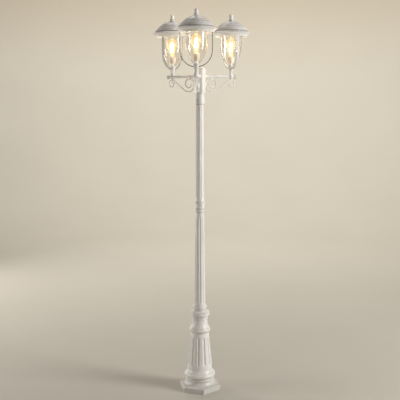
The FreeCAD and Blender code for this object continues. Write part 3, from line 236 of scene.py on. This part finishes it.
# The same on the coupling of the two posts, above that collar's top.
COLLAR_RISE = 0.0410
COUPLING_CREASES = ((0.6090, 0.6104, 0.45), (0.6150, 0.6160, 0.45), (0.6321, 0.6363, 0.50), (0.6650, 0.6662, 0.40),
                    (0.6772, 0.6784, 0.45))
# The same on the hub's sleeve, above its foot.
SLEEVE_CREASES = ((-0.0022, 0.0006, 0.6), (0.0645, 0.0657, 0.45))

plate_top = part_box("base_casting")[1][2] - BASE_RISE
collar_top = plate_top + BASE_RISE + COLLAR_RISE
sleeve_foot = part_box("hub_casting")[0][2]
creases = raised(BASE_CREASES, plate_top) + raised(COUPLING_CREASES, collar_top)
creases += raised(SLEEVE_CREASES, sleeve_foot)

dusty_coat = powder_coat("foot_powder_coat", POST_WHITE, dust_top=0.5, grooves=creases)
column_coat = powder_coat("column_powder_coat", POST_WHITE, grooves=creases)
post_coat = powder_coat("post_powder_coat", POST_WHITE)

for name in ("base_casting", "base_collar"):
    wear(node[name], dusty_coat)
for name in ("lower_post", "post_collar", "upper_post", "hub_casting"):
    wear(node[name], column_coat)
for name in ("hub_cap", "scroll_clips"):
    wear(node[name], post_coat)

# ---------------------------------------------------------------- grub screws, bush, block and leads
# Blackened steel grub screws hold the posts' joints. The supply comes up through a rubber bush in the foot to a
# terminal block in the hub, and round black leads go on from it along the arms.

TOOL_MARK_DEPTH, MOULD_GRAIN_DEPTH = 0.00004, 0.0001


def turned_metal(name, colour, roughness):
    """Blackened, plated or uncoated metal with the fine marks that the tool leaves."""
    metal = Finish(name)
    streak = metal.noise(per_metre=900.0, detail=3.0, roughness=0.7)
    return metal.skin(Base_Color=metal.blend(streak.ramp(0.3, 0.7), colour, dimmed(colour, 0.8)),
                      Metallic=1.0, Roughness=roughness + streak * 0.12,
                      Normal=metal.bump(streak, depth=TOOL_MARK_DEPTH, strength=0.5))


def moulded(name, colour, roughness, grain=450.0):
    """Moulded rubber or plastic with the mould's own fine grain."""
    mould = Finish(name)
    speck = mould.noise(per_metre=grain, detail=3.0, roughness=0.6)
    return mould.skin(Base_Color=mould.blend(speck.ramp(0.3, 0.8), colour, dimmed(colour, 0.86)),
                      Roughness=roughness + speck * 0.1,
                      Normal=mould.bump(speck, depth=MOULD_GRAIN_DEPTH, strength=0.4))


SCREW_BLACK, BUSH_BLACK = (0.11, 0.105, 0.10), (0.03, 0.03, 0.03)
BLOCK_WHITE, LEAD_BLACK = (0.72, 0.71, 0.66), (0.035, 0.035, 0.035)
wear(node["set_screws"], turned_metal("screw_black", SCREW_BLACK, 0.48))
wear(node["cable_grommet"], moulded("grommet_rubber", BUSH_BLACK, 0.62))
wear(node["terminal_block"], moulded("block_plastic", BLOCK_WHITE, 0.48))
wear(node["lamp_leads"], moulded("lead_sheath", LEAD_BLACK, 0.5, grain=300.0))

# ---------------------------------------------------------------- arms, scrolls and stems
# Each lantern stands on a tube from the hub, with a wrought scroll of round bar under it and a turned knob at its
# end. A U-shaped strap round the glass grows out of the turned stem and carries the roof.

PLACES = ("front", "left", "right")
# The colour of the painted shade on the straps' narrow edges.
EDGE_SHADE_BROWN = (0.055, 0.041, 0.030)


def strap_coat(name, along):
    """The strap's coat, with painted shade in dark brown on its narrow edges. The edges are the faces that look
    along the arm."""
    coat = Finish(name)
    cloud = coat.noise(per_metre=14.0, detail=3.0)
    peel = coat.noise(per_metre=PEEL_PER_METRE, detail=1.5)
    edge_mottle = coat.noise(per_metre=90.0, detail=4.0, roughness=0.65)
    outward = coat.node("ShaderNodeVectorMath", {"operation": "DOT_PRODUCT"}, out="Value",
                        Vector=coat.facing(), Vector_001=along)
    edge_faces = (outward * outward).ramp(0.55, 0.85)
    # Painted shade on the narrow edges, mottled.
    edge_shade = (edge_faces * (0.85 + edge_mottle * 0.4)).clamped()
    white = coat.blend(cloud.ramp(0.4, 0.7), POST_WHITE, dimmed(POST_WHITE, 0.95))
    return coat.skin(Base_Color=coat.blend(edge_shade, white, EDGE_SHADE_BROWN), Roughness=0.36 + edge_shade * 0.25,
                     Coat_Weight=0.2, Coat_Roughness=0.22,
                     Normal=coat.bump(peel, depth=PEEL_DEPTH, strength=PEEL_STRENGTH))


def upright(height):
    """The way up from the ground to a height on the post's axis."""
    return Vector((0.0, 0.0, height))


def turned_ring(name, loop, centre, axis, material, sides=72):
    """A ring turned about an axis, from a closed loop of radii and places along that axis. It stands on the post."""
    axis = Vector(axis)
    across = axis.orthogonal().normalized()
    beside = axis.cross(across)
    mesh = bmesh.new()
    rings = []
    for side in range(sides):
        turn = 2 * math.pi * side / sides
        outward = across * math.cos(turn) + beside * math.sin(turn)
        rings.append([mesh.verts.new(centre + outward * radius + axis * along) for radius, along in loop])
    for side in range(sides):
        ring, following = rings[side], rings[(side + 1) % sides]
        for at in range(len(loop)):
            beyond = (at + 1) % len(loop)
            mesh.faces.new((ring[at], ring[beyond], following[beyond], following[at]))
    bmesh.ops.recalc_face_normals(mesh, faces=mesh.faces)
    data = bpy.data.meshes.new(name)
    mesh.to_mesh(data)
    mesh.free()
    data.shade_smooth()
    piece = bpy.data.objects.new(name, data)
    bpy.context.scene.collection.objects.link(piece)
    wear(piece, material)
    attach(piece, "post")
    return piece


# The coat pools in a small fillet where each tube goes into the hub's flat. Its back is sunk into both.
HUB_FLAT, TUBE_RADIUS = 0.0305, 0.0083
BEAD_WIDTH, BEAD_LENGTH, BEAD_SUNK, BEAD_STEPS = 0.0026, 0.0034, 0.0003, 6
bead = [(TUBE_RADIUS - BEAD_SUNK, -BEAD_SUNK), (TUBE_RADIUS + BEAD_WIDTH, -BEAD_SUNK)]
for step in range(BEAD_STEPS + 1):
    turn = math.pi / 2 * step / BEAD_STEPS
    bead.append((TUBE_RADIUS + BEAD_WIDTH * (1 - math.sin(turn)), BEAD_LENGTH * (1 - math.cos(turn))))
bead.append((TUBE_RADIUS - BEAD_SUNK, BEAD_LENGTH))

tube_low, tube_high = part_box("front_arm")
tube_level = (tube_low[2] + tube_high[2]) / 2
# Each place's reach is the level direction from the post's axis to its lantern's.
reach = {}
for place in PLACES:
    for piece in ("arm", "arm_knob", "scroll", "stem", "gallery"):
        wear(node[f"{place}_{piece}"], post_coat)
    low, high = [Vector(corner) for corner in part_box(f"{place}_arm_knob")]
    reach[place] = ((low + high) / 2 * Vector((1.0, 1.0, 0.0))).normalized()
    wear(node[f"{place}_yoke"], strap_coat(f"{place}_strap_coat", tuple(reach[place])))
    turned_ring(f"{place}_arm_bead", bead, reach[place] * HUB_FLAT + upright(tube_level), reach[place], post_coat)

# ---------------------------------------------------------------- glasses
# Each lantern has a bell of clear blown glass 2.5 mm thick, open at the top under the roof, with its rim polished
# round in the fire. Its wall is all but even, and a thin film of dust blurs what it mirrors, more in some places.


def clear_glass(name, tint, roughness, waviness, glow=(0.0, 0.0, 0.0)):
    """Clear glass with a film on it, waves as deep as its waviness and, where a lamp burns in it, a glow."""
    glass = Finish(name)
    swell = glass.noise(per_metre=12.0, detail=0.0)
    film = glass.noise(per_metre=35.0, detail=3.0)
    return glass.skin(Base_Color=tint, Roughness=roughness * (0.6 + film * 0.8), Transmission_Weight=1.0, IOR=1.47,
                      Emission_Color=glow, Emission_Strength=1.0,
                      Normal=glass.bump(swell, depth=waviness, strength=0.5))


def arc(start, end, bow, steps):
    """Points on from start to end of an arc that stands out to the right of the chord by its bow."""
    (from_radius, from_level), (to_radius, to_level) = start, end
    run, rise = to_radius - from_radius, to_level - from_level
    chord = math.hypot(run, rise)
    points = []
    for step in range(1, steps + 1):
        share = step / steps
        out = bow * 4 * share * (1 - share) / chord
        points.append((from_radius + run * share + rise * out, from_level + rise * share - run * out))
    return points


# The glass's outline as radii and heights above its foot, from the hole in the foot out, up the outside, over the
# rim and back down inside. Below the belly the wall leans out, so its inner face stands off inward and upward by
# these shares of its thickness.
LAMP_REACH = 0.208
GLASS_WALL, HOLE = 0.0025, 0.013
INWARD, UPWARD = 0.9, 0.4
FOOT, NECK, WAIST, BELLY, TOP = (0.019, 0.0), (0.019, 0.005), (0.050, 0.054), (0.065, 0.123), (0.065, 0.182)
LOWER_BOW, UPPER_BOW, POLISH = 0.0016, 0.00375, 0.0004
inner_belly = (BELLY[0] - GLASS_WALL, BELLY[1])
inner_waist = (WAIST[0] - GLASS_WALL * INWARD, WAIST[1] + GLASS_WALL * UPWARD)
inner_neck = (NECK[0] - GLASS_WALL * INWARD, NECK[1] + GLASS_WALL * UPWARD)
rim_radius = GLASS_WALL / 2
rim_middle, rim_level = TOP[0] - rim_radius, TOP[1] - rim_radius
glass_loop = [(HOLE, 0.0), (FOOT[0] - POLISH, 0.0), (FOOT[0], POLISH), NECK]
glass_loop += arc(NECK, WAIST, LOWER_BOW, 12) + arc(WAIST, BELLY, UPPER_BOW, 16)
glass_loop += [(TOP[0], BELLY[1] + (rim_level - BELLY[1]) * share) for share in (0.33, 0.67, 1.0)]
glass_loop += [(rim_middle + rim_radius * math.cos(math.radians(turn)),
                rim_level + rim_radius * math.sin(math.radians(turn))) for turn in range(20, 181, 20)]
glass_loop += [(inner_belly[0], BELLY[1] + (rim_level - BELLY[1]) * share) for share in (0.67, 0.33, 0.0)]
glass_loop += arc(inner_belly, inner_waist, -UPPER_BOW, 16) + arc(inner_waist, inner_neck, -LOWER_BOW, 12)
glass_loop += [(FOOT[0] - GLASS_WALL, GLASS_WALL), (HOLE, GLASS_WALL)]

# Light goes through clear glass, so neither the bells nor the bulbs' envelopes cast a shadow.
LANTERN_TINT, LANTERN_WAVINESS = (0.965, 0.935, 0.895), 0.00001
lantern_glass = clear_glass("lantern_glass", LANTERN_TINT, 0.03, LANTERN_WAVINESS)
for place in PLACES:
    glass_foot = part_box(f"{place}_glass")[0][2]
    bell = turned_ring(f"{place}_blown_glass", glass_loop, reach[place] * LAMP_REACH + upright(glass_foot),
                       upright(1.0), lantern_glass, sides=144)
    bell.visible_shadow = False
    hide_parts(f"{place}_glass")

# ---------------------------------------------------------------- lampholders and bulbs
# A holder moulded in warm white plastic takes a large filament bulb with a brass screw cap. The bulb's envelope is
# clear amber glass, and the lit filaments stand round a glass post in it, so the whole bulb looks warm and its
# middle white hot.

HOLDER_WHITE, CAP_BRASS = (0.68, 0.60, 0.50), (0.74, 0.62, 0.40)
BULB_TINT, BULB_WAVINESS, BULB_GLOW = (1.0, 0.93, 0.80), 0.0002, (0.09, 0.07, 0.034)
holder_coat = moulded("holder_plastic", HOLDER_WHITE, 0.35)
cap_brass = turned_metal("cap_brass", CAP_BRASS, 0.28)
bulb_amber = clear_glass("bulb_amber", BULB_TINT, 0.12, BULB_WAVINESS, glow=BULB_GLOW)

# The filaments are lit between these heights above their foot. Below and above are their cold wires.
LIT_FROM, LIT_TO, LIT_EDGE = 0.030, 0.083, 0.003
COLD_WIRE, COLD_GLOW = (0.80, 0.74, 0.66), (0.004, 0.003, 0.002)
LIT_GLOW, LIT_STRENGTH = (1.0, 0.75, 0.42), 20.0
filament_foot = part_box("front_filament")[0][2]
glow = Finish("filament_glow")
lit = (glow.level() - filament_foot).within(LIT_FROM, LIT_TO, LIT_EDGE)
filament_glow = glow.skin(Base_Color=COLD_WIRE, Roughness=0.4, Emission_Strength=LIT_STRENGTH,
                          Emission_Color=glow.blend(lit, COLD_GLOW, LIT_GLOW))

# A coarse thread for a shade ring runs round the holder's barrel. Each of its turns stands out from the barrel by
# these amounts, at these heights above the turn's foot, and its back is sunk into the barrel.
BARREL_RADIUS, THREAD_SUNK, THREAD_FOOT = 0.0195, 0.0004, 0.0135
THREAD_DEPTH, THREAD_PITCH, THREADS = 0.0011, 0.0032, 6
THREAD_TURN = ((0.0001, 0.0001), (THREAD_DEPTH * 0.8, 0.0008), (THREAD_DEPTH, 0.0013),
               (THREAD_DEPTH * 0.8, 0.0018), (0.0001, 0.0025))
thread = [(BARREL_RADIUS - THREAD_SUNK, 0.0)]
for turn in range(THREADS):
    thread += [(BARREL_RADIUS + out, turn * THREAD_PITCH + rise) for out, rise in THREAD_TURN]
thread.append((BARREL_RADIUS - THREAD_SUNK, THREADS * THREAD_PITCH))

# Each bulb's light comes from one soft point in it, which neither the glass nor any gloss shows.
BULB_LIGHT, BULB_WATTS, BULB_SOFTNESS = (1.0, 0.66, 0.34), 0.36, 0.02
for place in PLACES:
    wear(node[f"{place}_lampholder"], holder_coat)
    holder_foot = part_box(f"{place}_lampholder")[0][2]
    turned_ring(f"{place}_holder_thread", thread,
                reach[place] * LAMP_REACH + upright(holder_foot + THREAD_FOOT), upright(1.0),
                holder_coat)
    wear(node[f"{place}_bulb_cap"], cap_brass)
    wear(node[f"{place}_bulb_glass"], bulb_amber)
    wear(node[f"{place}_filament"], filament_glow)
    node[f"{place}_bulb_glass"].visible_shadow = False
    low, high = [Vector(corner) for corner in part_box(f"{place}_filament")]
    lamp = bpy.data.lights.new(f"{place}_bulb_light", "POINT")
    lamp.energy = BULB_WATTS
    lamp.color = BULB_LIGHT
    lamp.shadow_soft_size = BULB_SOFTNESS
    shining = bpy.data.objects.new(f"{place}_bulb_light", lamp)
    shining.location = (low + high) / 2
    shining.visible_glossy = shining.visible_transmission = False
    bpy.context.scene.collection.objects.link(shining)

# ---------------------------------------------------------------- roofs
# The roof is a spun dome in steps with a moulded brim, pulled down on the strap's ends by two zinc-plated screws. A
# white dish hangs under it on the top knob's rod, held by a nut, and throws the light down.

# The heights of the roof's grooves above its lower edge, and how dark the painted shade in each is.
ROOF_GROOVES = ((0.0290, 0.0338, 0.75), (0.0592, 0.0616, 0.5), (0.0713, 0.0737, 0.45), (0.0814, 0.0836, 0.4))
DISH_WHITE, ZINC = (0.86, 0.86, 0.84), (0.55, 0.56, 0.58)

roof_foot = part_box("front_roof")[0][2]
roof_coat = powder_coat("roof_powder_coat", POST_WHITE, grooves=raised(ROOF_GROOVES, roof_foot))
reflector_white = powder_coat("reflector_white", DISH_WHITE)
screw_zinc = turned_metal("screw_zinc", ZINC, 0.32)
for place in PLACES:
    wear(node[f"{place}_roof"], roof_coat)
    wear(node[f"{place}_finial"], post_coat)
    wear(node[f"{place}_reflector"], reflector_white)
    wear(node[f"{place}_reflector_nut"], screw_zinc)
    wear(node[f"{place}_roof_screws"], screw_zinc)

# ---------------------------------------------------------------- studio
# A pale sand floor that sweeps up into a wall all round, so it has no line behind the post from any side. A large
# soft key stands to the right, a weak low fill to the left and a rim light behind on the left. A small light from
# above picks out the roofs, a faint one from the front softens the shadows, and the last washes the wall.

SWEEP_RADIUS, SWEEP_TURN, SWEEP_TOP = 8.0, 2.6, 7.0
SWEEP_SIDES, SWEEP_STEPS = 72, 14
profile = [(0.0, 0.0), (SWEEP_RADIUS - SWEEP_TURN, 0.0)]
for step in range(1, SWEEP_STEPS + 1):
    angle = math.pi / 2 * step / SWEEP_STEPS
    profile.append((SWEEP_RADIUS - SWEEP_TURN + SWEEP_TURN * math.sin(angle),
                    SWEEP_TURN * (1 - math.cos(angle))))
profile.append((SWEEP_RADIUS, SWEEP_TOP))
corners, panels = [(0.0, 0.0, 0.0)], []
for radius, height in profile[1:]:
    for side in range(SWEEP_SIDES):
        turn = 2 * math.pi * side / SWEEP_SIDES
        corners.append((radius * math.cos(turn), radius * math.sin(turn), height))
for side in range(SWEEP_SIDES):
    beside = (side + 1) % SWEEP_SIDES
    panels.append((0, 1 + side, 1 + beside))
    for ring in range(len(profile) - 2):
        low, high = 1 + ring * SWEEP_SIDES, 1 + (ring + 1) * SWEEP_SIDES
        panels.append((low + side, high + side, high + beside, low + beside))
sweep_mesh = bpy.data.meshes.new("sweep")
sweep_mesh.from_pydata(corners, [], panels)
sweep_mesh.shade_smooth()
sweep = bpy.data.objects.new("sweep", sweep_mesh)
bpy.context.scene.collection.objects.link(sweep)

# Painted shade darkens the plaster towards the top of the wall.
SAND_DARK, SAND_LIGHT, SAND_UPPER_SHADE = (0.50, 0.475, 0.415), (0.54, 0.515, 0.45), (0.36, 0.31, 0.24)
SHADE_FROM, SHADE_TO = 2.1, 4.2
plaster = Finish("sweep_plaster")
mottle = plaster.noise(per_metre=1.4, detail=4.0)
upper_shade = plaster.level().ramp(SHADE_FROM, SHADE_TO)
plain = plaster.blend(mottle, SAND_DARK, SAND_LIGHT)
wear(sweep, plaster.skin(Base_Color=plaster.blend(upper_shade, plain, SAND_UPPER_SHADE), Roughness=0.85))

ROOM_COLOUR, ROOM_STRENGTH = (1.0, 0.95, 0.88), 0.2
world = bpy.data.worlds.new("studio")
world.use_nodes = True
room = world.node_tree.nodes["Background"]
room.inputs["Color"].default_value = (*ROOM_COLOUR, 1.0)
room.inputs["Strength"].default_value = ROOM_STRENGTH
bpy.context.scene.world = world
bpy.context.scene.view_settings.view_transform = "Standard"


def softbox(name, place, aim, width, height, watts, colour):
    """A rectangular soft light at a place, turned to what it lights."""
    lamp = bpy.data.lights.new(name, "AREA")
    lamp.shape = "RECTANGLE"
    lamp.size = width
    lamp.size_y = height
    lamp.energy = watts
    lamp.color = colour
    box = bpy.data.objects.new(name, lamp)
    box.location = place
    box.rotation_mode = "QUATERNION"
    box.rotation_quaternion = (Vector(place) - Vector(aim)).to_track_quat("Z", "Y")
    bpy.context.scene.collection.objects.link(box)


# Each light has its place, what it is turned to, its width and height, its watts and its colour.
KNEE, CHEST, LANTERNS = (0.0, 0.0, 0.7), (0.0, 0.0, 1.3), (0.0, 0.0, 2.1)
WALL = (0.0, 8.0, 1.6)
softbox("key", (3.9, -0.9, 2.2), CHEST, 1.4, 3.2, 158.0, (1.0, 0.985, 0.965))
softbox("fill", (-3.7, -0.6, 1.0), KNEE, 1.2, 1.6, 44.0, (1.0, 0.97, 0.95))
softbox("rim", (-3.3, 2.4, 1.9), CHEST, 1.0, 3.2, 50.0, (1.0, 0.96, 0.92))
softbox("top", (-0.3, 1.7, 4.3), LANTERNS, 1.4, 1.0, 21.0, (1.0, 0.97, 0.93))
softbox("front", (0.8, -5.4, 3.0), CHEST, 2.4, 2.0, 13.0, (1.0, 0.98, 0.95))
softbox("wall_wash", (0.0, 3.6, 5.0), WALL, 5.0, 1.0, 322.0, (1.0, 0.965, 0.91))

# The camera stands four and a half metres off, a little above eye height and to the right of the front arm, and
# looks slightly down, so that the post fills the picture from the ground to the top knob. The angles are in
# radians, and the lens and its sensor in millimetres.
CAMERA_AT = (0.4345, -4.5153, 1.7903)
CAMERA_YAW, CAMERA_PITCH = -0.0957, -0.1305
FOCAL_LENGTH, SENSOR_WIDTH = 67.2, 36.0
ahead = Vector((math.sin(CAMERA_YAW) * math.cos(CAMERA_PITCH), math.cos(CAMERA_YAW) * math.cos(CAMERA_PITCH),
                math.sin(CAMERA_PITCH)))
lens = bpy.data.cameras.new("camera")
lens.sensor_width = SENSOR_WIDTH
lens.lens = FOCAL_LENGTH
camera = bpy.data.objects.new("camera", lens)
camera.location = CAMERA_AT
camera.rotation_mode = "QUATERNION"
camera.rotation_quaternion = (-ahead).to_track_quat("Z", "Y")
bpy.context.scene.collection.objects.link(camera)
bpy.context.scene.camera = camera
